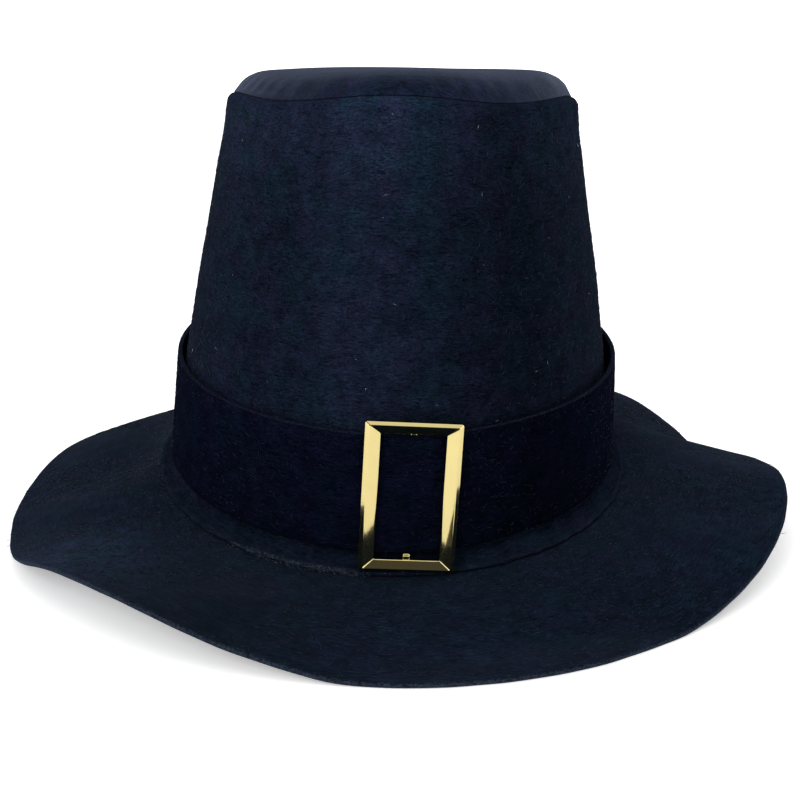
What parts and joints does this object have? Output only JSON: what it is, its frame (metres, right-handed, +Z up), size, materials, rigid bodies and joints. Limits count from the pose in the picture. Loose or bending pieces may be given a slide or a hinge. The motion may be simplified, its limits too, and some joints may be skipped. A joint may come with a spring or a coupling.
{
  "type": "capotain hat",
  "caption": "Tall tapered felt hat with a domed crown tip, a wavy brim, and a felt band threaded through a gilt slide buckle.",
  "frame": {"origin": "on the floor below the middle of the hat's box, as the hat rests on its brim", "axes": "+Z up from the floor, -Y the front with the buckle, +X the wearer's left"},
  "size_m": [0.3058, 0.3338, 0.1751],
  "materials": {
    "crown_felt": "blue-black needled felt, matt, with a soft nap",
    "band_felt": "darker blue-black needled felt, matt",
    "brim_felt": "blue-black needled felt with a cut edge",
    "gilt_metal": "polished gilt"
  },
  "bodies": {
    "root": {"crown_side": "crown_felt", "crown_tip": "crown_felt", "hatband": "band_felt", "buckle": "gilt_metal", "brim": "brim_felt"}
  },
  "joints": []
}
